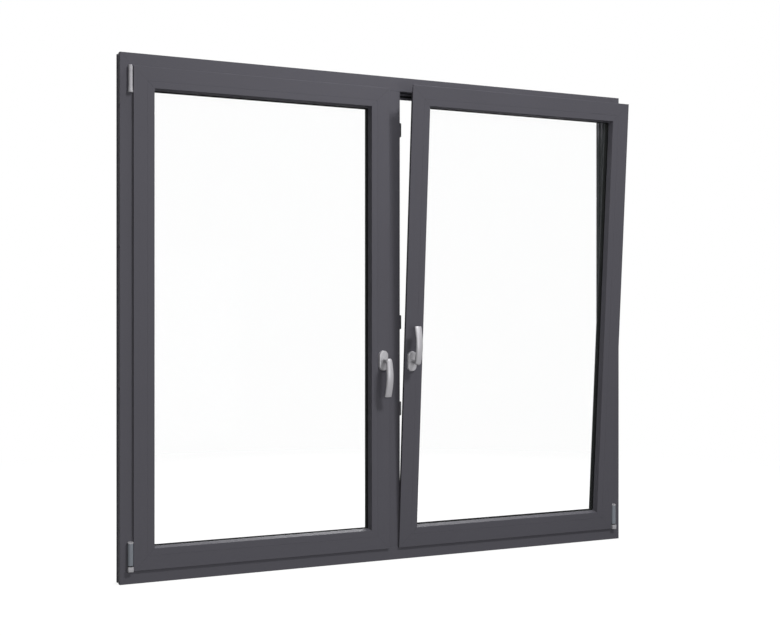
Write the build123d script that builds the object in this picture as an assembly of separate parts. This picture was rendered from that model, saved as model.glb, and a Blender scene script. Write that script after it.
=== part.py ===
from build123d import *
import os
from math import cos, radians, sin, sqrt

# Aluminium window with two sashes that open into the room, in millimetres.
# X runs to the right as seen from the room, Y from the room to the outside and Z up.
# The origin is the middle of the frame's underside, on the flat foot of its room-side shell.
# The left sash is shut. The right sash is tilted into the room.

# Outer frame
window_width = 1700.0
window_height = 1500.0
frame_face_width = 43.0
frame_shell_depth = 20.0
thermal_strip_depth = 15.0
frame_outer_shell_depth = 10.0
stop_flange_reach = 18.0
stop_flange_depth = 7.0
stop_flange_step = 6.0
mullion_width = 45.0
profile_wall = 1.8
frame_groove_width = 12.0
frame_groove_depth = 3.0
edge_radius = 0.8

# Sashes
sash_overlap = 6.0
sash_face_width = 60.0
sash_proud = 8.0
sash_flange_depth = 5.0
hardware_gap = 10.0
sash_groove_width = 10.0
sash_groove_depth = 3.0
sash_lip_reach = 4.5
outer_chamber_depth = 8.0
bead_face_width = 20.0
bead_depth = 19.0
bead_plate = 2.5
bead_seat = 7.0
bead_wall = 1.5
bead_joint = 0.2
break_setback = 1.0
sash_tilt = 4.0
tilt_pivot_depth = 5.0

# Glass
pane_thickness = 4.0
pane_gap = 8.0
room_gasket = 2.5
outer_gasket = 3.0
gasket_reach = 5.0
glass_edge_clearance = 5.0
spacer_width = 7.0
spacer_inset = 5.0
setting_block_length = 80.0

# Thermal strips and seals
strip_inset = 6.0
strip_web = 2.0
strip_head_width = 5.0
strip_head_depth = 1.6
strip_lip = 1.2
strip_lip_depth = 2.4
seal_width = 5.0
seal_foot = 1.0
seal_fin = 1.4
stop_seal_inset = 6.8
overlap_seal_inset = 0.6
joint_gap = 0.2

# Handles
handle_height = 619.5
handle_inset = 22.5
rosette_width = 30.0
rosette_height = 62.0
rosette_depth = 9.0
rosette_chamfer = 2.5
neck_diameter = 16.0
lever_reach = 42.0
lever_length = 110.0
lever_overrun = 7.5
lever_bow = 12.0
lever_return = 4.0
lever_width = 19.0
lever_thickness = 12.0
lever_end_width = 21.0
lever_end_thickness = 7.0
lever_pivot_width = 15.0
lever_chamfer = 2.5

# Hinges
hinge_clearance = 1.0
hinge_foot_width = 8.0
hinge_joint = 0.8
top_hinge_diameter = 12.0
top_hinge_length = 77.0
top_hinge_drop = 36.0
hinge_skirt_height = 18.0
hinge_skirt_flare = 1.5
bottom_hinge_diameter = 15.5
bottom_hinge_length = 86.0
bottom_hinge_rise = 36.0
bearing_height = 16.0
bearing_radius = 2.0
bearing_pin_diameter = 7.0
hinge_cap_slope = 35.0

# Locking pieces
striker_shares = (0.3127, 0.492, 0.8913)
striker_length = 44.0
striker_width = 14.0
striker_thickness = 8.0
striker_chamfer = 3.0
locking_strip_inset = 60.0
cam_offset = 40.0
cam_head_diameter = 10.0
cam_stem_diameter = 7.0
cam_head_height = 2.0
cam_height = 7.0
stay_width = 14.0
stay_thickness = 3.0
stay_length = 290.0
stay_pivot_diameter = 9.0
stay_pivot_inset = 16.0
stay_bracket_length = 40.0
stay_clearance = 5.0

# Fixing holes in the jambs and drains in the sill
anchor_diameter = 10.0
anchor_edge = 150.0
anchor_count = 4
drain_positions = (-0.75, -0.25, 0.25, 0.75)
drain_length = 28.0
drain_height = 5.0
drain_rise = 12.0
drain_cover_length = 44.0
drain_cover_height = 14.0
drain_cover_depth = 6.0

# Places worked out from the sizes above
frame_depth = frame_shell_depth + thermal_strip_depth + frame_outer_shell_depth
face_y = -frame_shell_depth / 2
shell_back_y = face_y + frame_shell_depth
outer_shell_y = shell_back_y + thermal_strip_depth
frame_back_y = face_y + frame_depth
stop_face_y = frame_back_y - stop_flange_depth
sash_edge = frame_face_width - sash_overlap
sash_side = sash_overlap + hardware_gap
sash_face_y = face_y - sash_proud
flange_back_y = sash_face_y + sash_flange_depth
sash_back_y = outer_shell_y
bead_back_y = sash_face_y + bead_depth
bead_root = sash_face_width - bead_face_width
rebate_floor = bead_root + bead_seat
sash_tip = sash_face_width + sash_lip_reach
room_pane_y = bead_back_y + room_gasket
outer_pane_y = room_pane_y + pane_thickness + pane_gap
glass_back_y = outer_pane_y + pane_thickness
lip_y = glass_back_y + outer_gasket
outer_chamber_y = sash_back_y - outer_chamber_depth
sash_break_y = bead_back_y + break_setback
sash_groove_y = (flange_back_y + sash_break_y) / 2
half_mullion = mullion_width / 2
sash_height = window_height - 2 * sash_edge
sash_width = window_width / 2 - sash_edge - half_mullion + sash_overlap
sash_centre_x = half_mullion - sash_overlap + sash_width / 2
opening_height = window_height - 2 * frame_face_width
opening_width = window_width / 2 - frame_face_width - half_mullion
opening_centre_x = half_mullion + opening_width / 2
middle_z = window_height / 2
striker_heights = [share * window_height for share in striker_shares]


def profile(*points):
    """A closed outline: the first number runs inwards from the outer edge, the second is Y."""
    return make_face(Polyline(*[(y, inward) for inward, y in points], close=True))


def rectangle(near, far, front, back):
    return profile((near, front), (far, front), (far, back), (near, back))


def hollow(outline, wall=profile_wall):
    return outline - offset(outline, -wall, kind=Kind.INTERSECTION)


def rounded(section, *corners):
    """Takes the sharp edge off the given corners of an extruded section."""
    for inward, y in corners:
        corner = section.vertices().sort_by_distance((y, inward))[0]
        section = fillet(corner, edge_radius)
    return section


def mitred_bar(section, length, gap=0.0):
    """The section drawn out along X and cut at 45 degrees at both ends, with its outer edge at Z 0."""
    bar = extrude(Plane.YZ * section, length / 2, both=True)
    for side in (-1, 1):
        end = Plane(origin=(side * (length / 2 - gap), 0, 0), z_dir=(side, 0, 1))
        bar = split(bar, bisect_by=end, keep=Keep.BOTTOM)
    return bar


def ring(section, width, height, gap=0.0):
    """Four mitred bars around a rectangle that is centred on the Y axis."""
    sides = {}
    for name, turn, length, reach in (
        ("bottom", 0, width, height / 2),
        ("left", 90, height, width / 2),
        ("top", 180, width, height / 2),
        ("right", 270, height, width / 2),
    ):
        sides[name] = Rot(0, turn, 0) * Pos(0, 0, -reach) * mitred_bar(section, length, gap)
    return sides


def save(name, *pieces):
    solids = [solid for piece in pieces for solid in piece.solids()]
    os.makedirs("parts", exist_ok=True)
    export_step(Compound(children=solids), f"parts/{name}.step")


def in_frame(piece):
    return Pos(0, 0, middle_z) * piece


def strip_lines(near, far):
    """Where the two thermal strips of a bar run between its edges."""
    return (near + strip_inset, far - strip_inset)


def thermal_strip(line, front, back):
    """A polyamide strip: a thin web with a head along each edge."""
    half_head = strip_head_width / 2
    section = rectangle(line - strip_web / 2, line + strip_web / 2, front, back)
    section += rectangle(line - half_head, line + half_head, front, front + strip_head_depth)
    return section + rectangle(line - half_head, line + half_head, back - strip_head_depth, back)


def strip_lips(near, far, y, direction):
    """The lips of a shell that grip the heads of its two strips."""
    lips = Sketch()
    for line in strip_lines(near, far):
        for side in (-1, 1):
            centre = line + side * (strip_head_width + strip_lip) / 2
            ends = sorted((y, y + direction * strip_lip_depth))
            lips += rectangle(centre - strip_lip / 2, centre + strip_lip / 2, *ends)
    return lips


# Frame: room-side and outer shells, held together by two polyamide strips in each bar
groove_half = frame_groove_width / 2
groove_y = face_y + frame_shell_depth / 2
room_shell = rectangle(0, frame_face_width, face_y, shell_back_y) - rectangle(
    frame_face_width - frame_groove_depth, frame_face_width, groove_y - groove_half, groove_y + groove_half
)
room_section = hollow(room_shell) + strip_lips(0, frame_face_width, shell_back_y, 1)
room_section = rounded(room_section, (0, face_y), (frame_face_width, face_y))
flange_tip = frame_face_width + stop_flange_reach
flange_step = frame_face_width + stop_flange_step
outer_shell = profile(
    (0, outer_shell_y),
    (flange_step, outer_shell_y),
    (flange_step, stop_face_y),
    (flange_tip, stop_face_y),
    (flange_tip, frame_back_y),
    (0, frame_back_y),
)
outer_section = hollow(outer_shell) + strip_lips(0, frame_face_width, outer_shell_y, -1)
outer_section = rounded(outer_section, (0, frame_back_y), (flange_tip, frame_back_y))
room_bars = ring(room_section, window_width, window_height)
outer_bars = ring(outer_section, window_width, window_height)

# Fixing holes run through both walls of each jamb, along the bottom of its groove
anchor_span = window_height - 2 * anchor_edge
anchor_heights = [anchor_span * (i / (anchor_count - 1) - 0.5) for i in range(anchor_count)]
for height in anchor_heights:
    hole = Pos(0, groove_y, height) * Rot(0, 90, 0) * Cylinder(anchor_diameter / 2, 2 * window_width)
    room_bars["left"] -= hole
    room_bars["right"] -= hole

# Drain slots in the outside of the sill, each under a cover
drains = [Pos(share * window_width / 2, frame_back_y, drain_rise - middle_z) for share in drain_positions]
for place in drains:
    outer_bars["bottom"] -= place * Box(drain_length, 2 * profile_wall, drain_height)
cover_shell = Box(drain_cover_length, drain_cover_depth, drain_cover_height)
cover_shell = chamfer(cover_shell.edges().group_by(Axis.Y)[-1], drain_cover_depth / 2)
cover_mouth = Pos(0, -profile_wall, -profile_wall) * Box(
    drain_cover_length - 2 * profile_wall, drain_cover_depth, drain_cover_height
)
cover = Pos(0, drain_cover_depth / 2, 0) * (cover_shell - cover_mouth)
save("sill_drain_covers", *[in_frame(place * cover) for place in drains])

frame_names = {"bottom": "frame_sill", "left": "frame_jamb_left", "top": "frame_head", "right": "frame_jamb_right"}
for side, name in frame_names.items():
    save(name, in_frame(room_bars[side]), in_frame(outer_bars[side]))


def upright(section, length=opening_height):
    """A section in X and Y drawn out upwards and downwards from the middle of the window."""
    return Pos(0, 0, middle_z) * extrude(section, length / 2, both=True)


def both_sides(half):
    return half + mirror(half, Plane.YZ)


def across(*points):
    """Half of a mullion section: the first number runs outwards from its middle, the second is Y."""
    return make_face(Polyline(*points, close=True))


# Mullion: the frame's shells back to back, cut to fit against the sill and the head
mullion_room = both_sides(
    across(
        (0, face_y),
        (half_mullion, face_y),
        (half_mullion, groove_y - groove_half),
        (half_mullion - frame_groove_depth, groove_y - groove_half),
        (half_mullion - frame_groove_depth, groove_y + groove_half),
        (half_mullion, groove_y + groove_half),
        (half_mullion, shell_back_y),
        (0, shell_back_y),
    )
)
mullion_outer = both_sides(
    across(
        (0, outer_shell_y),
        (half_mullion + stop_flange_step, outer_shell_y),
        (half_mullion + stop_flange_step, stop_face_y),
        (half_mullion + stop_flange_reach, stop_face_y),
        (half_mullion + stop_flange_reach, frame_back_y),
        (0, frame_back_y),
    )
)
mullion_outer_bar = upright(hollow(mullion_outer))
solid_ring = ring(outer_shell, window_width, window_height)
for side in ("bottom", "top"):
    mullion_outer_bar -= in_frame(solid_ring[side])
save("frame_mullion", upright(hollow(mullion_room)), mullion_outer_bar)

frame_strips = []
for line in strip_lines(0, frame_face_width):
    strip_ring = ring(thermal_strip(line, shell_back_y, outer_shell_y), window_width, window_height, joint_gap)
    frame_strips += [in_frame(bar) for bar in strip_ring.values()]
mullion_strip = Rot(0, 0, 90) * thermal_strip(0, -outer_shell_y, -shell_back_y)
for side in (-1, 1):
    line = side * (half_mullion - strip_inset)
    frame_strips.append(upright(Pos(line, 0) * mirror(mullion_strip, Plane.XZ)))
save("frame_thermal_strips", *frame_strips)


def finned_seal(near, foot_y, tip_y):
    """A rubber seal: a flat foot with a fin that leans over to the face that it closes on."""
    direction = 1 if tip_y > foot_y else -1
    return profile(
        (near, foot_y),
        (near + seal_width, foot_y),
        (near + seal_width, foot_y + direction * seal_foot),
        (near + seal_fin + seal_foot, foot_y + direction * seal_foot),
        (near + seal_width, tip_y),
        (near + seal_width - seal_fin, tip_y),
        (near, foot_y + direction * seal_foot),
    )


# Stop seals on the room-side face of the frame's outer flange, around each sash
seal_start = stop_flange_reach - stop_seal_inset - seal_width
stop_seal = finned_seal(seal_start, stop_face_y, sash_back_y)
stop_seals = ring(stop_seal, opening_width, opening_height, joint_gap).values()
save(
    "frame_stop_seals",
    *[Pos(side * opening_centre_x, 0, middle_z) * bar for side in (-1, 1) for bar in stop_seals],
)

# Sash sections, measured inwards from the sash's own outer edge
groove_front = sash_groove_y - sash_groove_width / 2
groove_back = sash_groove_y + sash_groove_width / 2
sash_room_shell = profile(
    (0, sash_face_y),
    (bead_root, sash_face_y),
    (bead_root, sash_face_y + bead_plate),
    (rebate_floor, sash_face_y + bead_plate),
    (rebate_floor, sash_break_y),
    (sash_side, sash_break_y),
    (sash_side, groove_back),
    (sash_side + sash_groove_depth, groove_back),
    (sash_side + sash_groove_depth, groove_front),
    (sash_side, groove_front),
    (sash_side, flange_back_y),
    (0, flange_back_y),
)
sash_room_section = hollow(sash_room_shell) + strip_lips(sash_side, rebate_floor, sash_break_y, 1)
sash_room_section = rounded(sash_room_section, (0, sash_face_y))
sash_outer_shell = profile(
    (sash_side, outer_chamber_y),
    (rebate_floor, outer_chamber_y),
    (rebate_floor, lip_y),
    (sash_tip, lip_y),
    (sash_tip, sash_back_y),
    (sash_side, sash_back_y),
)
outer_chamber = rectangle(sash_side, rebate_floor, outer_chamber_y, sash_back_y)
sash_outer_section = sash_outer_shell - offset(outer_chamber, -profile_wall, kind=Kind.INTERSECTION)
sash_outer_section += strip_lips(sash_side, rebate_floor, outer_chamber_y, -1)
bead_outline = profile(
    (bead_root + bead_joint, sash_face_y),
    (sash_face_width, sash_face_y),
    (sash_tip, bead_back_y),
    (rebate_floor, bead_back_y),
    (rebate_floor, sash_face_y + bead_plate),
    (bead_root + bead_joint, sash_face_y + bead_plate),
)
bead_chamber = profile(
    (rebate_floor, sash_face_y + bead_plate),
    (sash_face_width, sash_face_y + bead_plate),
    (sash_tip, bead_back_y),
    (rebate_floor, bead_back_y),
)
bead_section = bead_outline - offset(bead_chamber, -bead_wall, kind=Kind.INTERSECTION)
bead_section = rounded(bead_section, (sash_face_width, sash_face_y))
overlap_seal = finned_seal(overlap_seal_inset, flange_back_y, face_y)
room_glass_gasket = rectangle(sash_tip - gasket_reach, sash_tip, bead_back_y, room_pane_y)
outer_glass_gasket = rectangle(sash_tip - gasket_reach, sash_tip, glass_back_y, lip_y)
glass_inset = rebate_floor + glass_edge_clearance
spacer_start = glass_inset + spacer_inset
spacer_section = rectangle(spacer_start, spacer_start + spacer_width, room_pane_y + pane_thickness, outer_pane_y)
rail_names = {"bottom": "bottom_rail", "left": "left_stile", "top": "top_rail", "right": "right_stile"}


def sash_ring(section, gap=0.0):
    return ring(section, sash_width, sash_height, gap)


def sash_frame():
    """The rails, stiles, beads and thermal strips of one sash, around its middle."""
    room = sash_ring(sash_room_section)
    outer = sash_ring(sash_outer_section)
    beads = sash_ring(bead_section, bead_joint)
    pieces = {}
    for side, rail in rail_names.items():
        pieces[rail] = [room[side], outer[side]]
        pieces["glazing_bead_" + side] = [beads[side]]
    pieces["thermal_strips"] = []
    for line in strip_lines(sash_side, rebate_floor):
        strip = thermal_strip(line, sash_break_y, outer_chamber_y)
        pieces["thermal_strips"] += sash_ring(strip, joint_gap).values()
    return pieces


def sash_glazing():
    """The double glass of one sash with its spacer, setting blocks and rubber seals."""
    pane_width = sash_width - 2 * glass_inset
    pane_height = sash_height - 2 * glass_inset
    pieces = {"seals": []}
    for section in (overlap_seal, room_glass_gasket, outer_glass_gasket):
        pieces["seals"] += sash_ring(section, joint_gap).values()
    pieces["glass_spacer"] = list(sash_ring(spacer_section, joint_gap).values())
    pieces["glass"] = [
        Pos(0, y + pane_thickness / 2, 0) * Box(pane_width, pane_thickness, pane_height)
        for y in (room_pane_y, outer_pane_y)
    ]
    block = Box(setting_block_length, glass_back_y - room_pane_y, glass_edge_clearance)
    block_z = -(pane_height + glass_edge_clearance) / 2
    pieces["setting_blocks"] = [
        Pos(side * pane_width / 4, (room_pane_y + glass_back_y) / 2, block_z) * block for side in (-1, 1)
    ]
    return pieces


def rosette():
    """The oval plate under a handle, with its back on the plane Y 0."""
    plate = extrude(Plane.XZ * Rot(0, 0, 90) * SlotOverall(rosette_height, rosette_width), rosette_depth)
    return chamfer(plate.edges().group_by(Axis.Y)[0], rosette_chamfer)


def bowed_face(centres, widths):
    """An outline of the lever, from its centre line and widths at the top, the middle and the tip."""
    heights = (lever_overrun, -lever_length / 2, -lever_length)
    near, far = [
        [(centre + side * width / 2, height) for centre, width, height in zip(centres, widths, heights)]
        for side in (-1, 1)
    ]
    ends = [Line(near[0], far[0]), Line(near[-1], far[-1])]
    return make_face(Curve() + [ThreePointArc(*near), ThreePointArc(*far)] + ends)


def lever(down):
    """The bowed grip and its neck, which ends on the rosette. It points down, or else up."""
    side_face = bowed_face(
        (-lever_reach, -lever_reach - lever_bow, -lever_reach + lever_return),
        (lever_thickness, lever_thickness, lever_end_thickness),
    )
    front_face = bowed_face((0, 0, 0), (lever_pivot_width, lever_width, lever_end_width))
    grip = extrude(Plane.YZ * side_face, lever_end_width, both=True)
    grip &= extrude(Plane.XZ * front_face, 2 * lever_reach)
    long_edges = grip.edges().filter_by(lambda edge: edge.length > lever_length / 2)
    grip = chamfer(long_edges, lever_chamfer)
    neck = Pos(0, -rosette_depth, 0) * extrude(Plane.XZ * Circle(neck_diameter / 2), lever_reach - rosette_depth)
    whole = grip + neck
    return whole if down else mirror(whole, Plane.XY)


def sash(side):
    """Every piece of one sash in its shut place, by node: -1 is the left sash and 1 the right one."""
    place = Pos(side * sash_centre_x, 0, middle_z)
    pieces = {}
    for group in (sash_frame(), sash_glazing()):
        for name, parts in group.items():
            pieces[name] = [place * part for part in parts]
    handle_x = side * (half_mullion - sash_overlap + handle_inset)
    handle_place = Pos(handle_x, sash_face_y, handle_height)
    pieces["handle_rosette"] = [handle_place * rosette()]
    pieces["handle_lever"] = [handle_place * lever(down=side < 0)]
    return pieces


def locking_strip():
    """The steel strip in the groove of the right sash's lock stile, with its mushroom cams."""
    length = sash_height - 2 * locking_strip_inset
    groove_x = half_mullion - sash_overlap + sash_side
    bar = Pos(groove_x + sash_groove_depth / 2, sash_groove_y, middle_z) * Box(
        sash_groove_depth, sash_groove_width, length
    )
    for height in striker_heights:
        stem = Cylinder(cam_stem_diameter / 2, cam_height)
        head = Pos(0, 0, (cam_height - cam_head_height) / 2) * Cylinder(cam_head_diameter / 2, cam_head_height)
        place = Pos(groove_x - cam_height / 2, sash_groove_y, height + cam_offset) * Rot(0, -90, 0)
        bar += place * (stem + head)
    return bar


# The right sash turns about a line along its bottom edge
pivot = Pos(0, face_y - tilt_pivot_depth, sash_edge)
tilt = pivot * Rot(sash_tilt, 0, 0) * pivot.inverse()
for name, parts in sash(-1).items():
    save("left_sash_" + name, *parts)
for name, parts in sash(1).items():
    save("right_sash_" + name, *[tilt * part for part in parts])
save("right_sash_locking_strip", tilt * locking_strip())


def hinge_body(length, diameter):
    """An upright barrel with a narrow foot that stands on the frame's face at Y 0."""
    radius = diameter / 2
    barrel = Pos(0, -radius, length / 2) * Cylinder(radius, length)
    return barrel + Pos(0, -radius / 2, length / 2) * Box(hinge_foot_width, radius, length)


def top_hinge():
    """A barrel with a bevelled cap, a flared skirt and the joint between its two halves."""
    radius = top_hinge_diameter / 2
    body = hinge_body(top_hinge_length, top_hinge_diameter)
    skirt = Pos(0, -radius, hinge_skirt_height / 2) * Cone(
        radius + hinge_skirt_flare, radius, hinge_skirt_height
    )
    below_face = Pos(0, radius, top_hinge_length / 2) * Box(
        2 * top_hinge_diameter, top_hinge_diameter, 2 * top_hinge_length
    )
    joint = Pos(0, -radius, top_hinge_length - hinge_skirt_height) * (
        Cylinder(2 * radius, hinge_joint) - Cylinder(radius - hinge_joint, hinge_joint)
    )
    body = body + skirt - below_face - joint
    return chamfer(body.edges().group_by(Axis.Z)[-1].filter_by(GeomType.CIRCLE), 2 * hinge_joint)


def bottom_hinge():
    """A bearing block on the frame with a barrel above it, cut off at a slope at the top."""
    middle_y = -bottom_hinge_diameter / 2
    block = RectangleRounded(bottom_hinge_diameter, bottom_hinge_diameter, bearing_radius)
    bearing = extrude(Pos(0, middle_y) * block, bearing_height)
    pin = Pos(0, middle_y, bearing_height) * Cylinder(
        bearing_pin_diameter / 2, hinge_joint, align=(Align.CENTER, Align.CENTER, Align.MIN)
    )
    length = bottom_hinge_length - bearing_height - hinge_joint
    barrel = hinge_body(length, bottom_hinge_diameter)
    slope = radians(hinge_cap_slope)
    cap = Plane(origin=(0, 0, length), x_dir=(1, 0, 0), z_dir=(0, -sin(slope), cos(slope)))
    barrel = split(barrel, bisect_by=cap, keep=Keep.BOTTOM)
    return bearing + pin + Pos(0, 0, bearing_height + hinge_joint) * barrel


def hinge_place(side, radius, height):
    """Where a hinge stands on the frame's face, clear of the sash's outer edge."""
    return Pos(side * (window_width / 2 - sash_edge + hinge_clearance + radius), face_y, height)


top_hinge_z = window_height - top_hinge_drop - top_hinge_length
skirt_radius = top_hinge_diameter / 2 + hinge_skirt_flare
for side, name in ((-1, "left"), (1, "right")):
    save(f"{name}_hinge_top", hinge_place(side, skirt_radius, top_hinge_z) * top_hinge())
    save(
        f"{name}_hinge_bottom",
        hinge_place(side, bottom_hinge_diameter / 2, bottom_hinge_rise) * bottom_hinge(),
    )

# Tilt stay: a flat arm between a bracket under the head and the groove of the right sash's top rail
stay_z = window_height - frame_face_width - stay_clearance - stay_thickness / 2
stay_start = Vector(window_width / 2 - frame_face_width - stay_pivot_inset, groove_y, stay_z)
sash_top = tilt * Pos(0, sash_groove_y, window_height - sash_edge - sash_side)
swing = stay_start.Y - sash_top.position.Y
stay_end = stay_start + Vector(-sqrt(stay_length**2 - swing**2), -swing, 0)
stay_angle = Vector(-1, 0, 0).get_signed_angle(stay_end - stay_start, Vector(0, 0, 1))
bracket = Pos(
    stay_start.X - stay_bracket_length / 2 + stay_pivot_inset, groove_y, window_height - frame_face_width
) * Box(stay_bracket_length, stay_width, stay_clearance / 2, align=(Align.CENTER, Align.CENTER, Align.MAX))
arm = Pos(*((stay_start + stay_end) / 2)) * Rot(0, 0, stay_angle) * extrude(
    SlotCenterToCenter(stay_length, stay_width), stay_thickness / 2, both=True
)
pin_length = stay_clearance / 2
stay_pin = Pos(stay_start.X, stay_start.Y, stay_z + stay_thickness / 2) * Cylinder(
    stay_pivot_diameter / 2, pin_length, align=(Align.CENTER, Align.CENTER, Align.MIN)
)
slider = Pos(stay_end.X, stay_end.Y, stay_z - stay_thickness / 2) * Cylinder(
    stay_pivot_diameter / 2, stay_clearance * 2, align=(Align.CENTER, Align.CENTER, Align.MAX)
)
rail_block = tilt * Pos(sash_centre_x, 0, window_height - sash_edge - sash_side) * Box(
    sash_width, 4 * frame_depth, 2 * sash_side, align=(Align.CENTER, Align.CENTER, Align.MAX)
)
save("right_stay_arm", bracket, arm + stay_pin, slider - rail_block)

# Strikers on both sides of the mullion, seated in its grooves
seat = frame_groove_depth
striker_head = Box(striker_thickness, striker_width, striker_length)
striker_head = chamfer(striker_head.edges().filter_by(Axis.Y).group_by(Axis.X)[-1], striker_chamfer)
striker_foot = Pos(-(striker_thickness + seat) / 2, 0, 0) * Box(seat, frame_groove_width, striker_length)
striker = Pos(striker_thickness / 2, 0, 0) * (striker_head + striker_foot)
strikers = []
for height in striker_heights:
    right = Pos(half_mullion, groove_y, height) * striker
    strikers += [right, mirror(right, Plane.YZ)]
save("mullion_strikers", *strikers)
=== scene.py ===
from math import cos, pi, radians, sin

import bmesh
import bpy
from mathutils import Matrix, Vector


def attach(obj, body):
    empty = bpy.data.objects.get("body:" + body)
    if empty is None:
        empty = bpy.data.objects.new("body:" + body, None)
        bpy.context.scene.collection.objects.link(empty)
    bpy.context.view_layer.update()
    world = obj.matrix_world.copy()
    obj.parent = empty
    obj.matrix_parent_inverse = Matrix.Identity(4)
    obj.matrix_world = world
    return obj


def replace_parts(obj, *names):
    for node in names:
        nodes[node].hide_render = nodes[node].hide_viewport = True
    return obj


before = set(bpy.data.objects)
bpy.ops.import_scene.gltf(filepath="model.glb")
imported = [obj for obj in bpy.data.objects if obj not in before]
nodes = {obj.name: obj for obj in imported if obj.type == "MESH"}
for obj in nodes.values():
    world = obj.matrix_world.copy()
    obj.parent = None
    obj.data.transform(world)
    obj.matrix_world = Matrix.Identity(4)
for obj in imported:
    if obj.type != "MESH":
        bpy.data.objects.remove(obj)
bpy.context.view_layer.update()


# Outer frame. Four hollow aluminium bars, each a room-side and an outer shell, cut at 45 degrees
# and crimped at the corners. They are powder coated, which leaves a fine matt grain, and a
# hairline shows where two bars meet.
class Reading:
    """What a finish reads at each point of a surface. Sums on readings add the nodes for them."""

    def __init__(self, finish, socket):
        self.finish = finish
        self.socket = socket

    def maths(self, operation, first, second=0.0):
        return self.finish.add("ShaderNodeMath", {"operation": operation}, {0: first, 1: second})

    def __add__(self, other):
        return self.maths("ADD", self, other)

    def __sub__(self, other):
        return self.maths("SUBTRACT", self, other)

    def __rsub__(self, other):
        return self.maths("SUBTRACT", other, self)

    def __mul__(self, other):
        return self.maths("MULTIPLY", self, other)

    def __lt__(self, other):
        return self.maths("LESS_THAN", self, other)

    def __abs__(self):
        return self.maths("ABSOLUTE", self)

    def no_more_than(self, most):
        return self.maths("MINIMUM", self, most)

    __radd__ = __add__
    __rmul__ = __mul__


class Wiring:
    """The nodes of a finish or of the studio's light."""

    def __init__(self, tree):
        self.nodes = tree.nodes
        self.links = tree.links

    def put(self, socket, value):
        if isinstance(value, Reading):
            self.links.new(value.socket, socket)
        elif isinstance(value, tuple) and len(value) == 3 and socket.type == "RGBA":
            socket.default_value = (*value, 1.0)
        else:
            socket.default_value = value

    def add(self, kind, settings=None, sockets=None, output=0):
        """Adds a node: its settings first, and then the values or links of its sockets."""
        node = self.nodes.new(kind)
        for name, value in (settings or {}).items():
            if name == "stops":
                for stop, (place, shade) in zip(node.color_ramp.elements, value):
                    stop.position = place
                    stop.color = (shade, shade, shade, 1.0)
            else:
                setattr(node, name, value)
        for name, value in (sockets or {}).items():
            self.put(node.inputs[name], value)
        return Reading(self, node.outputs[output])


class Finish(Wiring):
    """A material with one Principled shader. What is the same all over goes on its own sockets."""

    def __init__(self, name, **sockets):
        self.material = bpy.data.materials.new(name)
        self.material.use_nodes = True
        super().__init__(self.material.node_tree)
        self.shader = self.nodes["Principled BSDF"]
        for socket, value in sockets.items():
            self.put(self.shader.inputs[socket.replace("_", " ")], value)

    def place(self, turn=(0.0, 0.0, 0.0), shift=(0.0, 0.0, 0.0), stretch=(1.0, 1.0, 1.0)):
        """Where a point is on the window, in metres."""
        point = self.add("ShaderNodeTexCoord", output="Object")
        sockets = {"Vector": point, "Location": shift, "Rotation": turn, "Scale": stretch}
        return self.add("ShaderNodeMapping", sockets=sockets)

    def noise(self, point, per_metre, detail=2.0, roughness=0.5):
        sockets = {"Vector": point, "Scale": per_metre, "Detail": detail, "Roughness": roughness}
        return self.add("ShaderNodeTexNoise", sockets=sockets)

    def ramp(self, reading, low, high):
        """0 up to the low value and 1 from the high one."""
        stops = (low, 0.0), (high, 1.0)
        return self.add("ShaderNodeValToRGB", {"stops": stops}, {"Fac": reading})

    def blend(self, share, first, second):
        """A colour between two colours."""
        sockets = {0: share, 6: first, 7: second}
        return self.add("ShaderNodeMix", {"data_type": "RGBA"}, sockets, output=2)

    def colour(self, reading):
        self.put(self.shader.inputs["Base Color"], reading)

    def gloss(self, reading):
        self.put(self.shader.inputs["Roughness"], reading)

    def relief(self, height, depth):
        """Bumps of that depth in metres, over those already there."""
        sockets = {"Height": height, "Distance": depth, "Strength": 1.0}
        before = self.shader.inputs["Normal"]
        if before.is_linked:
            sockets["Normal"] = Reading(self, before.links[0].from_socket)
        self.put(before, self.add("ShaderNodeBump", sockets=sockets))


def dress(finish, *names):
    """Gives CAD nodes their finish."""
    for name in names:
        mesh = nodes[name].data
        mesh.materials.clear()
        mesh.materials.append(finish.material)


coat_grey = (0.083, 0.081, 0.094)
mitre_hairline = 0.0002
frame_half_width = 0.85
frame_half_height = 0.75
middle_z = 0.75


def powder_coat(name, middle_x, half_width, half_height, tilt=0.0, pivot=(0.0, 0.0, 0.0)):
    """Powder coat with hairlines where bars meet at the corners of that rectangle."""
    coat = Finish(name, Specular_IOR_Level=0.03)
    back = Matrix.Rotation(-tilt, 3, "X")
    point = coat.place(turn=(-tilt, 0.0, 0.0), shift=tuple(Vector(pivot) - back @ Vector(pivot)))
    grain = coat.noise(point, 1900.0, detail=1.0)
    peel = coat.noise(point, 330.0, detail=2.0)
    cloud = coat.noise(point, 3.2, detail=3.0)
    across = coat.add("ShaderNodeSeparateXYZ", sockets={0: point}, output="X")
    up = coat.add("ShaderNodeSeparateXYZ", sockets={0: point}, output="Z")
    from_side = half_width - abs(across - middle_x)
    from_end = half_height - abs(up - middle_z)
    seam = abs(from_side - from_end) < mitre_hairline
    darker, lighter, seam_shade = [
        tuple(share * shade for shade in coat_grey) for share in (0.93, 1.07, 0.45)
    ]
    mottle = coat.blend(cloud * 0.7 + grain * 0.3, darker, lighter)
    coat.colour(coat.blend(seam, mottle, seam_shade))
    coat.gloss(0.5 + peel * 0.12)
    coat.relief(peel, 0.00012)
    coat.relief(grain, 0.00005)
    return coat


frame_coat = powder_coat("frame_powder_coat", 0.0, frame_half_width, frame_half_height)
dress(frame_coat, "frame_sill", "frame_head", "frame_jamb_left", "frame_jamb_right")


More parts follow.
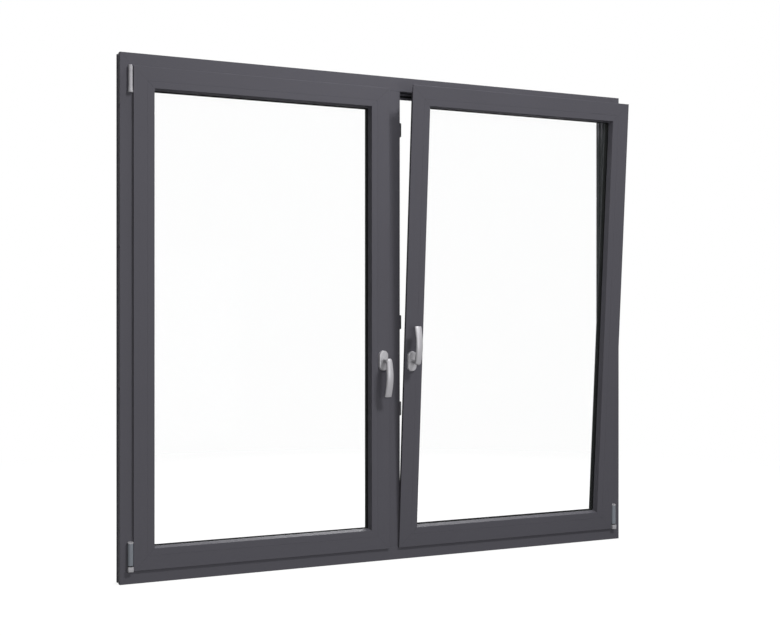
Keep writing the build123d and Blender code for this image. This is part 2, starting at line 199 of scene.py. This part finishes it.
# Thermal strips. Extruded polyamide with a quarter of glass fibre, rolled in between the two
# shells of a bar so that no metal runs through it. It is matt black with pale fibre flecks.
polyamide = Finish("polyamide", Specular_IOR_Level=0.04)
point = polyamide.place()
fleck = polyamide.ramp(polyamide.noise(point, 1500.0, detail=3.0, roughness=0.7), 0.58, 0.72)
scuff = polyamide.noise(point, 45.0, detail=4.0)
polyamide.colour(polyamide.blend(fleck * 0.35, (0.026, 0.026, 0.028), (0.085, 0.085, 0.088)))
polyamide.gloss(0.52 + scuff * 0.2)
polyamide.relief(fleck, 0.00004)
dress(polyamide, "frame_thermal_strips", "left_sash_thermal_strips", "right_sash_thermal_strips")


# Stop seals. Black EPDM rubber, extruded with a fin and pushed into the flange that each sash
# closes on. New rubber is nearly black and dull, with a faint grey bloom.
rubber = Finish("seal_rubber", Specular_IOR_Level=0.01)
point = rubber.place()
bloom = rubber.ramp(rubber.noise(point, 28.0, detail=4.0), 0.45, 0.75)
skin = rubber.noise(point, 1100.0, detail=2.0)
rubber.colour(rubber.blend(bloom * 0.5, (0.012, 0.012, 0.013), (0.026, 0.026, 0.028)))
rubber.gloss(0.62 + bloom * 0.2)
rubber.relief(skin, 0.00006)
dress(rubber, "frame_stop_seals", "left_sash_seals", "right_sash_seals")


# Drain covers. Moulded caps clipped over the slots in the outside of the sill, which keep the
# wind out while water runs away. They are dyed to match the frame and have a moulder's grain.
cap_plastic = Finish("drain_cap_plastic", Specular_IOR_Level=0.1)
point = cap_plastic.place()
spark = cap_plastic.noise(point, 1300.0, detail=2.0)
cap_plastic.colour(cap_plastic.blend(spark, (0.052, 0.051, 0.058), (0.064, 0.062, 0.070)))
cap_plastic.gloss(0.5 + spark * 0.15)
cap_plastic.relief(spark, 0.00008)
dress(cap_plastic, "sill_drain_covers")


# Mullion. The same two shells back to back with the strips between, cut square and screwed
# to the sill and the head.
dress(frame_coat, "frame_mullion")


# Strikers. Zinc castings in both grooves of the mullion, where the cams of the sash gear hook
# behind them. Each is a shallow tray with two countersunk screws in its floor. The upper ones
# are near-black zinc, a painted shade for the shadow in the mullion's gap, and the lowest is
# bright zinc.
def plated(name, darker, lighter):
    """Zinc with a spangle and the fine scratches of use."""
    zinc = Finish(name, Metallic=0.6, Specular_IOR_Level=0.1)
    spangle = zinc.noise(zinc.place(), 240.0, detail=3.0)
    scratch = zinc.noise(zinc.place(stretch=(1.0, 1.0, 0.06)), 900.0, detail=2.0)
    zinc.colour(zinc.blend(spangle, darker, lighter))
    zinc.gloss(0.42 + scratch * 0.2)
    zinc.relief(spangle, 0.00005)
    zinc.relief(scratch, 0.00003)
    return zinc


# Near-black zinc. On the upper strikers its dark colour is painted shade for the gap's shadow.
zinc = plated("zinc", (0.045, 0.045, 0.048), (0.085, 0.085, 0.09))
bright_zinc = plated("bright_zinc", (0.30, 0.30, 0.31), (0.40, 0.40, 0.41))
groove_floor = 0.0225
striker_thickness = 0.0064
striker_half_width = 0.007
striker_half_length = 0.022
striker_rim = 0.0022
striker_tray = 0.0030
lowest_striker = 0.46905
upper_strikers = (0.738, 1.33695)
striker_rounding = 0.003
striker_screw_rise = 0.013
striker_screw_diameter = 0.0065


def finished(name, form, finish):
    """Makes a form a piece of the window that rides on its one body."""
    mesh = bpy.data.meshes.new(name)
    form.to_mesh(mesh)
    form.free()
    mesh.materials.append(finish.material)
    for face in mesh.polygons:
        face.use_smooth = True
    piece = bpy.data.objects.new(name, mesh)
    bpy.context.scene.collection.objects.link(piece)
    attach(piece, "root")
    return piece


def crisp(piece, angle=35.0):
    """Keeps edges sharper than that angle crisp under smooth shading."""
    piece.data.set_sharp_from_angle(angle=radians(angle))
    return piece


def add_part(form, part):
    """Joins a part to a form and frees it."""
    mesh = bpy.data.meshes.new("part")
    part.to_mesh(mesh)
    part.free()
    form.from_mesh(mesh)
    bpy.data.meshes.remove(mesh)


def rounded(form, edges, offset, segments=2):
    bmesh.ops.bevel(
        form,
        geom=edges,
        offset=offset,
        segments=segments,
        profile=0.5,
        affect="EDGES",
        material=-1,
        clamp_overlap=True,
    )


def disc(form, radius, sides):
    """Starts a form with a flat round face and returns that face."""
    made = bmesh.ops.create_circle(form, cap_ends=True, radius=radius, segments=sides)
    face = made["verts"][0].link_faces[0]
    face.normal_update()
    return face


def raise_face(form, face, distance):
    """Pulls a flat face along its normal and returns it there. A lone face stays as the back."""
    way = face.normal.copy()
    alone = all(len(edge.link_faces) == 1 for edge in face.edges)
    made = bmesh.ops.extrude_face_region(form, geom=[face])["geom"]
    corners = [piece for piece in made if isinstance(piece, bmesh.types.BMVert)]
    bmesh.ops.translate(form, verts=corners, vec=way * distance)
    if not alone:
        bmesh.ops.delete(form, geom=[face], context="FACES_ONLY")
    return next(piece for piece in made if isinstance(piece, bmesh.types.BMFace))


def outermost(form, axis):
    """The face that lies furthest along an axis: 0 is x and 2 is z."""
    return max(form.faces, key=lambda face: face.calc_center_median()[axis])


def screw_heads(form, places, diameter):
    """Adds flat screw heads with a star recess. A place is a point and the way the head faces."""
    sides = 20
    rise = 0.12 * diameter
    rounding = 0.05 * diameter
    rim = 0.26 * diameter
    recess = 0.1 * diameter
    star_pull = 0.68
    for point, facing in places:
        head = bmesh.new()
        top = raise_face(head, disc(head, diameter / 2, sides), rise)
        rounded(head, list(top.edges), rounding)
        top = outermost(head, 2)
        bmesh.ops.inset_region(head, faces=[top], thickness=rim)
        for number, corner in enumerate(top.verts):
            if number % 4 < 2:
                corner.co.x *= star_pull
                corner.co.y *= star_pull
        top.normal_update()
        raise_face(head, top, -recess)
        bmesh.ops.recalc_face_normals(head, faces=head.faces)
        turn = Vector(facing).to_track_quat("Z", "Y").to_matrix().to_4x4()
        bmesh.ops.transform(head, matrix=Matrix.Translation(point) @ turn, verts=head.verts)
        add_part(form, head)


def strikers(name, heights, finish):
    """One striker in each of the two grooves at every height."""
    form = bmesh.new()
    for height in heights:
        casting = bmesh.new()
        bmesh.ops.create_cube(casting, size=1.0)
        size = (striker_thickness, 2 * striker_half_width, 2 * striker_half_length)
        bmesh.ops.scale(casting, vec=size, verts=casting.verts)
        face = outermost(casting, 0)
        ends = [edge for edge in face.edges if edge.verts[0].co.z == edge.verts[1].co.z]
        rounded(casting, ends, striker_rounding)
        face = outermost(casting, 0)
        bmesh.ops.inset_region(casting, faces=[face], thickness=striker_rim)
        face.normal_update()
        raise_face(casting, face, -striker_tray)
        bmesh.ops.recalc_face_normals(casting, faces=casting.faces)
        middle = (groove_floor + striker_thickness / 2, 0.0, height)
        bmesh.ops.translate(casting, vec=middle, verts=casting.verts)
        floor_x = groove_floor + striker_thickness - striker_tray
        places = [
            (Vector((floor_x, 0.0, height + rise)), (1.0, 0.0, 0.0))
            for rise in (-striker_screw_rise, striker_screw_rise)
        ]
        screw_heads(casting, places, striker_screw_diameter)
        opposite = casting.copy()
        half_turn = Matrix.Rotation(pi, 4, "Z")
        bmesh.ops.transform(opposite, matrix=half_turn, verts=opposite.verts)
        add_part(form, casting)
        add_part(form, opposite)
    return crisp(finished(name, form, finish))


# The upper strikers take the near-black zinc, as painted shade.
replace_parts(strikers("strikers", upper_strikers, zinc), "mullion_strikers")
strikers("lowest_strikers", (lowest_striker,), bright_zinc)


# Sash rails and stiles. The same kind of thermally broken bars, 60 mm wide and 8 mm proud of
# the frame, with a sloping glazing bead clipped in all round to hold the glass.
sash_middle_x = 0.41475
sash_half_width = 0.39825
sash_half_height = 0.713
sash_tilt = radians(4.0)
tilt_pivot = (0.0, -0.015, 0.037)
left_coat = powder_coat("left_sash_powder_coat", -sash_middle_x, sash_half_width, sash_half_height)
right_coat = powder_coat(
    "right_sash_powder_coat",
    sash_middle_x,
    sash_half_width,
    sash_half_height,
    tilt=sash_tilt,
    pivot=tilt_pivot,
)
sash_bars = ("top_rail", "bottom_rail", "left_stile", "right_stile")
beads = ("glazing_bead_top", "glazing_bead_bottom", "glazing_bead_left", "glazing_bead_right")
for side, coat in (("left", left_coat), ("right", right_coat)):
    dress(coat, *[f"{side}_sash_{bar}" for bar in sash_bars + beads])


# Glass. Two clear float panes with a gap, set on plastic blocks and held between gaskets.
# Nearly nothing is seen of it but a faint grey green, which deepens where it is looked along.
glass = Finish("clear_float_glass", Roughness=0.02, IOR=1.5, Specular_IOR_Level=0.5)
edge_on = glass.add("ShaderNodeLayerWeight", sockets={"Blend": 0.35}, output="Facing")
film = glass.noise(glass.place(), 6.0, detail=4.0)
glass.colour(glass.blend(film, (0.50, 0.56, 0.54), (0.60, 0.65, 0.63)))
glass.put(glass.shader.inputs["Alpha"], 0.006 + edge_on * edge_on * 0.10 + film * 0.006)
dress(glass, "left_sash_glass", "right_sash_glass")


# Spacer bar and setting blocks. The spacer is a black warm-edge bar between the panes, with a
# row of fine holes for its drying agent. The glass stands on two plastic blocks.
spacer_bar = Finish("spacer_bar", Specular_IOR_Level=0.0)
point = spacer_bar.place()
grid = {"Vector": point, "Scale": 420.0, "Randomness": 0.0}
from_middle = spacer_bar.add("ShaderNodeTexVoronoi", {"feature": "F1"}, grid)
hole = from_middle < 0.22
spacer_bar.colour(spacer_bar.blend(hole, (0.009, 0.009, 0.010), (0.003, 0.003, 0.003)))
spacer_bar.gloss(0.6 + spacer_bar.noise(point, 300.0) * 0.2)
spacer_bar.relief(1.0 - hole, 0.00002)
dress(spacer_bar, "left_sash_glass_spacer", "right_sash_glass_spacer")
dress(polyamide, "left_sash_setting_blocks", "right_sash_setting_blocks")


# Handle rosettes. Die-cast plates with a clip-on cover and a round collar that the lever turns
# in, all in matt silver. The two fixing screws are under the cover.
silver = Finish("matt_silver", Metallic=0.2, Specular_IOR_Level=0.5)
point = silver.place()
satin = silver.noise(point, 1500.0, detail=2.0)
rub = silver.noise(point, 30.0, detail=4.0)
worn = rub * 0.6 + satin * 0.4
silver.colour(silver.blend(worn, (0.33, 0.325, 0.342), (0.395, 0.389, 0.408)))
silver.gloss(0.34 + satin * 0.08 + rub * 0.06)
silver.relief(satin, 0.00003)

rosette_width = 0.030
rosette_height = 0.062
rosette_depth = 0.009
rosette_foot = 0.0012
rosette_step = 0.0004
rosette_rounding = 0.0025
rosette_sides = 64
collar_diameter = 0.0185
collar_height = 0.0022
collar_sink = 0.0003
collar_rounding = 0.0008
sash_face_y = -0.018
handle_z = 0.6195
handle_x = 0.039
upright = Matrix.Rotation(radians(90.0), 4, "X")
pivot = Matrix.Translation(tilt_pivot)
tilted = pivot @ Matrix.Rotation(sash_tilt, 4, "X") @ pivot.inverted()
on_left_sash = Matrix.Translation((-handle_x, sash_face_y, handle_z))
on_right_sash = tilted @ Matrix.Translation((handle_x, sash_face_y, handle_z))


def rosette(name, place):
    """A plate with straight sides and half-round ends, a step at its foot and a collar on top."""
    form = bmesh.new()
    plate = disc(form, rosette_width / 2, rosette_sides)
    half_side = Matrix.Rotation(pi / rosette_sides, 4, "Z")
    bmesh.ops.transform(form, matrix=half_side, verts=form.verts)
    half_straight = (rosette_height - rosette_width) / 2
    for corner in form.verts:
        corner.co.y += half_straight if corner.co.y > 0.0 else -half_straight
    front = raise_face(form, plate, rosette_foot)
    front.normal_update()
    bmesh.ops.inset_region(form, faces=[front], thickness=rosette_step)
    front = raise_face(form, front, rosette_depth - rosette_foot)
    rounded(form, list(front.edges), rosette_rounding, segments=5)
    bmesh.ops.recalc_face_normals(form, faces=form.faces)
    collar = bmesh.new()
    ring = raise_face(collar, disc(collar, collar_diameter / 2, 48), collar_height)
    rounded(collar, list(ring.edges), collar_rounding, segments=3)
    bmesh.ops.translate(collar, verts=collar.verts, vec=(0.0, 0.0, rosette_depth - collar_sink))
    bmesh.ops.recalc_face_normals(collar, faces=collar.faces)
    add_part(form, collar)
    bmesh.ops.transform(form, matrix=place @ upright, verts=form.verts)
    return crisp(finished(name, form, silver))


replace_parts(rosette("left_rosette", on_left_sash), "left_sash_handle_rosette")
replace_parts(rosette("right_rosette", on_right_sash), "right_sash_handle_rosette")


# Handle levers. Hollow castings in matt silver, bowed away from the sash so that a hand fits
# behind, round where they turn and flat at the wider end. A square spindle through the neck
# drives the gear. Down is shut and up is tilted.
lever_reach = 0.042
lever_top = 0.0075
lever_length = 0.110
grip_length = lever_top + lever_length
lever_bow = 0.012
lever_return = 0.004
lever_width = 0.0190
lever_flare = 0.0028
flare_share = 0.4
lever_thickness = 0.0150
lever_thinning = 0.0065
lever_squareness = 2.5
dome_length = 0.0085
dome_pull = 0.97
dome_fullness = 2.2
dome_rings = 8
dome_crowding = 1.6
grip_rings = 26
tip_rounding = 0.0012
neck_width = 0.013
neck_taper = 0.001


def lever_ring(distance):
    """Where the grip's outline lies at a distance from its top, as a matrix for a ring 1 m wide."""
    share = distance / grip_length
    turn = pi * share
    out = lever_reach + lever_bow * sin(turn) - lever_return * share
    slope = (lever_return - lever_bow * pi * cos(turn)) / grip_length
    along = Vector((0.0, slope, -1.0)).normalized()
    across = Vector((1.0, 0.0, 0.0))
    width = lever_width + lever_flare * min(1.0, share / flare_share)
    thickness = lever_thickness - lever_thinning * share**2
    dome = max(0.0, 1.0 - distance / dome_length)
    shrink = (1.0 - dome_pull * dome**dome_fullness) ** 0.5
    place = Matrix.Translation((0.0, -out, lever_top - distance))
    way = Matrix((across, along.cross(across), along)).transposed().to_4x4()
    return place @ way @ Matrix.Diagonal((width * shrink, thickness * shrink, 1.0, 1.0))


def lever(name, place, up):
    """A grip drawn out ring by ring from its domed top to its flat tip, and a round neck."""
    form = bmesh.new()
    bmesh.ops.create_circle(form, cap_ends=False, radius=0.5, segments=40)
    for corner in form.verts:
        squared = [abs(2.0 * part) ** lever_squareness for part in corner.co.xy]
        corner.co /= sum(squared) ** (1.0 / lever_squareness)
    before = lever_ring(0.0)
    bmesh.ops.transform(form, matrix=before, verts=form.verts)
    dome = [dome_length * (step / dome_rings) ** dome_crowding for step in range(1, dome_rings)]
    rest = grip_length - dome_length
    grip = [dome_length + rest * step / grip_rings for step in range(grip_rings + 1)]
    edges = list(form.edges)
    for distance in dome + grip:
        made = bmesh.ops.extrude_edge_only(form, edges=edges)["geom"]
        ring = [piece for piece in made if isinstance(piece, bmesh.types.BMVert)]
        edges = [piece for piece in made if isinstance(piece, bmesh.types.BMEdge)]
        now = lever_ring(distance)
        bmesh.ops.transform(form, matrix=now @ before.inverted(), verts=ring)
        before = now
    bmesh.ops.holes_fill(form, edges=form.edges, sides=0)
    rounded(form, edges, tip_rounding, segments=3)
    neck = bmesh.ops.create_cone(
        form,
        cap_ends=True,
        segments=40,
        radius1=neck_width / 2,
        radius2=neck_width / 2 - neck_taper,
        depth=lever_reach - rosette_depth,
    )
    neck_middle = Matrix.Translation((0.0, -(rosette_depth + lever_reach) / 2, 0.0))
    bmesh.ops.transform(form, matrix=neck_middle @ upright, verts=neck["verts"])
    bmesh.ops.recalc_face_normals(form, faces=form.faces)
    if up:
        bmesh.ops.scale(form, vec=(1.0, 1.0, -1.0), verts=form.verts)
        bmesh.ops.reverse_faces(form, faces=form.faces)
    bmesh.ops.transform(form, matrix=place, verts=form.verts)
    return crisp(finished(name, form, silver), 40.0)


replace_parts(lever("left_lever", on_left_sash, up=False), "left_sash_handle_lever")
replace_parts(lever("right_lever", on_right_sash, up=True), "right_sash_handle_lever")


# Top hinges. Zinc castings under a matt silver cover, flared at its foot, that hold the head of
# the sash on a pin. They are screwed to the frame's face beside the sash.
hinge_silver = Finish("hinge_silver", Metallic=0.15, Specular_IOR_Level=0.25)
point = hinge_silver.place()
satin = hinge_silver.noise(point, 1300.0, detail=2.0)
rub = hinge_silver.noise(point, 40.0, detail=4.0)
worn = rub * 0.6 + satin * 0.4
hinge_silver.colour(hinge_silver.blend(worn, (0.285, 0.281, 0.296), (0.345, 0.340, 0.358)))
hinge_silver.gloss(0.5 + satin * 0.1)
hinge_silver.relief(satin, 0.00003)
dress(hinge_silver, "left_hinge_top", "right_hinge_top")


# Bottom hinges. A cast bearing block on the frame carries a pin, and the sash hangs on it by a
# barrel under a blue-grey plastic sleeve. The socket in the sloping cap is for setting the sash.
sleeve_plastic = Finish("sleeve_plastic", Specular_IOR_Level=0.25)
point = sleeve_plastic.place()
grain = sleeve_plastic.noise(point, 1300.0, detail=2.0)
rub = sleeve_plastic.noise(point, 40.0, detail=4.0)
worn = rub * 0.6 + grain * 0.4
sleeve_plastic.colour(sleeve_plastic.blend(worn, (0.145, 0.160, 0.180), (0.185, 0.200, 0.225)))
sleeve_plastic.gloss(0.46 + grain * 0.1)
sleeve_plastic.relief(grain, 0.00003)

hinge_x = 0.82175
frame_face_y = -0.010
barrel_radius = 0.00775
bearing_low = 0.036
bearing_top = 0.0505
sleeve_low = 0.0540
sleeve_top = 0.1178
washer_radius = 0.0066
hinge_pin_radius = 0.0035
hinge_pin_overlap = 0.001
bearing_rounding = 0.0014
foot_half_width = 0.004
foot_drop = 0.001
foot_rounding = 0.0003
cap_thickness = 0.0020
cap_overhang = 0.0004
cap_slope = 0.22
cap_rounding = 0.0008
socket_margin = 0.62 * barrel_radius
socket_depth = 0.6 * cap_thickness


def rod(form, radius, low, high, slope=0.0, rounding=0.0):
    """Adds an upright rod to a form. Its top slopes up to the back and can have a rounded edge."""
    part = bmesh.new()
    top = raise_face(part, disc(part, radius, 36), high - low)
    bmesh.ops.recalc_face_normals(part, faces=part.faces)
    for corner in top.verts:
        corner.co.z += slope * corner.co.y
    if rounding:
        rounded(part, list(top.edges), rounding, segments=3)
    bmesh.ops.translate(part, verts=part.verts, vec=(0.0, 0.0, low))
    add_part(form, part)


def block(form, low, high, rounding):
    """Adds a box with rounded edges to a form."""
    low, high = Vector(low), Vector(high)
    part = bmesh.new()
    bmesh.ops.create_cube(part, size=1.0)
    bmesh.ops.scale(part, vec=high - low, verts=part.verts)
    bmesh.ops.translate(part, vec=(low + high) / 2, verts=part.verts)
    rounded(part, list(part.edges), rounding, segments=3)
    add_part(form, part)


for name, side in (("left", -1.0), ("right", 1.0)):
    axis = Matrix.Translation((side * hinge_x, frame_face_y - barrel_radius, 0.0))
    sleeve = bmesh.new()
    rod(sleeve, barrel_radius, sleeve_low, sleeve_top, slope=cap_slope)
    low_corner = (-foot_half_width, 0.0, sleeve_low)
    high_corner = (foot_half_width, barrel_radius, sleeve_top - foot_drop)
    block(sleeve, low_corner, high_corner, foot_rounding)
    bmesh.ops.transform(sleeve, matrix=axis, verts=sleeve.verts)
    sleeve = crisp(finished(f"{name}_hinge_sleeve", sleeve, sleeve_plastic))
    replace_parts(sleeve, f"{name}_hinge_bottom")
    casting = bmesh.new()
    low_corner = (-barrel_radius, -barrel_radius, bearing_low)
    high_corner = (barrel_radius, barrel_radius, bearing_top)
    block(casting, low_corner, high_corner, bearing_rounding)
    rod(casting, hinge_pin_radius, bearing_top - hinge_pin_overlap, sleeve_low + hinge_pin_overlap)
    bmesh.ops.transform(casting, matrix=axis, verts=casting.verts)
    crisp(finished(f"{name}_hinge_bearing", casting, hinge_silver))
    washer = bmesh.new()
    rod(washer, washer_radius, bearing_top, sleeve_low)
    bmesh.ops.transform(washer, matrix=axis, verts=washer.verts)
    crisp(finished(f"{name}_hinge_washer", washer, polyamide))
    cap = bmesh.new()
    rod(cap, barrel_radius + cap_overhang, 0.0, cap_thickness, rounding=cap_rounding)
    lid = outermost(cap, 2)
    bmesh.ops.inset_region(cap, faces=[lid], thickness=socket_margin)
    lid.normal_update()
    raise_face(cap, lid, -socket_depth)
    bmesh.ops.recalc_face_normals(cap, faces=cap.faces)
    for corner in cap.verts:
        corner.co.z += sleeve_top + cap_slope * corner.co.y
    bmesh.ops.transform(cap, matrix=axis, verts=cap.verts)
    crisp(finished(f"{name}_hinge_cap", cap, hinge_silver))


# Locking strip and tilt stay. Punched steel, zinc plated. The strip slides in the groove of the
# lock stile, and the stay holds the head of the tilted sash at its opening.
dress(zinc, "right_sash_locking_strip", "right_stay_arm")

strip_face = 0.0325
strip_y = -0.0055
strip_screw_heights = (0.13, 0.30, 0.47, 0.65, 0.91, 1.10, 1.29)
strip_screw_diameter = 0.006
rivet_diameter = 0.009
rivet_rise = 0.00198
stay_pivot = (0.791, 0.0, 1.449)
stay_slider = (0.5203, -0.1039, 1.452)

places = [
    (tilted @ Vector((strip_face, strip_y, height)), (-1.0, 0.0, 0.0))
    for height in strip_screw_heights
]
form = bmesh.new()
screw_heads(form, places, strip_screw_diameter)
crisp(finished("locking_strip_screws", form, zinc))


def rivet(name, point, facing):
    """A domed rivet head, spun from its outline."""
    form = bmesh.new()
    corners = [
        form.verts.new((rivet_diameter / 2 * sin(turn), 0.0, rivet_rise * cos(turn)))
        for turn in (0.0, 0.3, 0.6, 0.9, 1.2, pi / 2)
    ]
    line = [form.edges.new(pair) for pair in zip(corners, corners[1:])]
    bmesh.ops.spin(
        form,
        geom=corners + line,
        cent=(0.0, 0.0, 0.0),
        axis=(0.0, 0.0, 1.0),
        angle=2.0 * pi,
        steps=28,
        use_merge=True,
    )
    bmesh.ops.remove_doubles(form, verts=form.verts, dist=1e-6)
    bmesh.ops.holes_fill(form, edges=form.edges, sides=0)
    bmesh.ops.recalc_face_normals(form, faces=form.faces)
    turn = Vector(facing).to_track_quat("Z", "Y").to_matrix().to_4x4()
    bmesh.ops.transform(form, matrix=Matrix.Translation(point) @ turn, verts=form.verts)
    return crisp(finished(name, form, zinc))


rivet("stay_pivot_rivet", stay_pivot, (0.0, 0.0, -1.0))
rivet("stay_slider_rivet", stay_slider, (0.0, 0.0, 1.0))


# Floor. Pale paper on which the window stands. Beyond the window's shadow it grows as white
# as the surround, so that no horizon shows behind the glass.
def seen(wiring):
    """1 where the camera, a reflection or glass looks, and 0 for light that falls elsewhere."""
    camera_ray = wiring.add("ShaderNodeLightPath", output="Is Camera Ray")
    glossy_ray = wiring.add("ShaderNodeLightPath", output="Is Glossy Ray")
    glass_ray = wiring.add("ShaderNodeLightPath", output="Is Transmission Ray")
    return (camera_ray + glossy_ray + glass_ray).no_more_than(1.0)


white = (1.0, 1.0, 1.0)
black = (0.0, 0.0, 0.0)
near_white = 0.9
shadow_reach = 0.9
white_reach = 3.2
floor_half_size = 40.0
paper = Finish("studio_paper", Roughness=1.0, Specular_IOR_Level=0.0, Emission_Strength=1.0)
fibre = paper.noise(paper.place(), 260.0, detail=3.0)
length = {"operation": "LENGTH"}
away = paper.add("ShaderNodeVectorMath", length, {0: paper.place()}, output="Value")
reach = {"Value": away, "From Min": shadow_reach, "From Max": white_reach}
distant = paper.add("ShaderNodeMapRange", {"interpolation_type": "SMOOTHSTEP"}, reach)
whiteness = near_white + distant * (1.0 - near_white)
near_shade = paper.blend(fibre, (0.14, 0.14, 0.14), (0.16, 0.16, 0.16))
glow = paper.blend(seen(paper) * whiteness, black, white)
paper.colour(paper.blend(distant, near_shade, black))
paper.put(paper.shader.inputs["Emission Color"], glow)
form = bmesh.new()
bmesh.ops.create_grid(form, x_segments=1, y_segments=1, size=floor_half_size)
floor_mesh = bpy.data.meshes.new("floor")
form.to_mesh(floor_mesh)
form.free()
floor_mesh.materials.append(paper.material)
floor = bpy.data.objects.new("floor", floor_mesh)
bpy.context.scene.collection.objects.link(floor)


# Surround. A white studio round the window. The camera, the gloss of the coat and the glass see
# it white, and it gives the surfaces only a weak fill.
room_fill = 0.2
room = bpy.data.worlds.new("studio")
room.use_nodes = True
bpy.context.scene.world = room
surround = Wiring(room.node_tree)
background = surround.nodes["Background"]
surround.put(background.inputs["Color"], white)
surround.put(background.inputs["Strength"], seen(surround) * (1.0 - room_fill) + room_fill)


# Lamps. Square softboxes. The key hangs high in front on the right and draws the shadows of the
# handles and the open sash, and the others lift the faces, the top edges and the back.
def softbox(name, place, aim, size, watts):
    light = bpy.data.lights.new(name, "AREA")
    light.shape = "SQUARE"
    light.size = size
    light.energy = watts
    lamp = bpy.data.objects.new(name, light)
    lamp.location = place
    lamp.rotation_euler = (Vector(aim) - Vector(place)).to_track_quat("-Z", "Y").to_euler()
    bpy.context.scene.collection.objects.link(lamp)


window_middle = (0.0, 0.0, middle_z)
softbox("key", (0.85, -3.02, 3.62), window_middle, 0.7, 106.0)
softbox("front", (-1.6, -4.5, 1.2), window_middle, 1.2, 60.0)
softbox("low_front", (0.0, -3.0, 0.6), (0.0, 0.0, 0.6), 1.0, 17.0)
softbox("overhead", (0.1, -0.15, 2.8), window_middle, 0.6, 27.0)
softbox("back", (1.6, 3.2, 2.0), window_middle, 1.6, 210.0)


# Camera. It stands at half the window's height, left of it, level and turned towards it, where
# the upright edges of the window stay upright.
lens = bpy.data.cameras.new("camera")
lens.sensor_width = 36.0
lens.lens = 55.77
camera = bpy.data.objects.new("camera", lens)
camera.location = (-1.6062, -3.4061, 0.7510)
camera.rotation_euler = (radians(90.0), 0.0, radians(-25.156))
bpy.context.scene.collection.objects.link(camera)
bpy.context.scene.camera = camera
bpy.context.scene.view_settings.view_transform = "Standard"
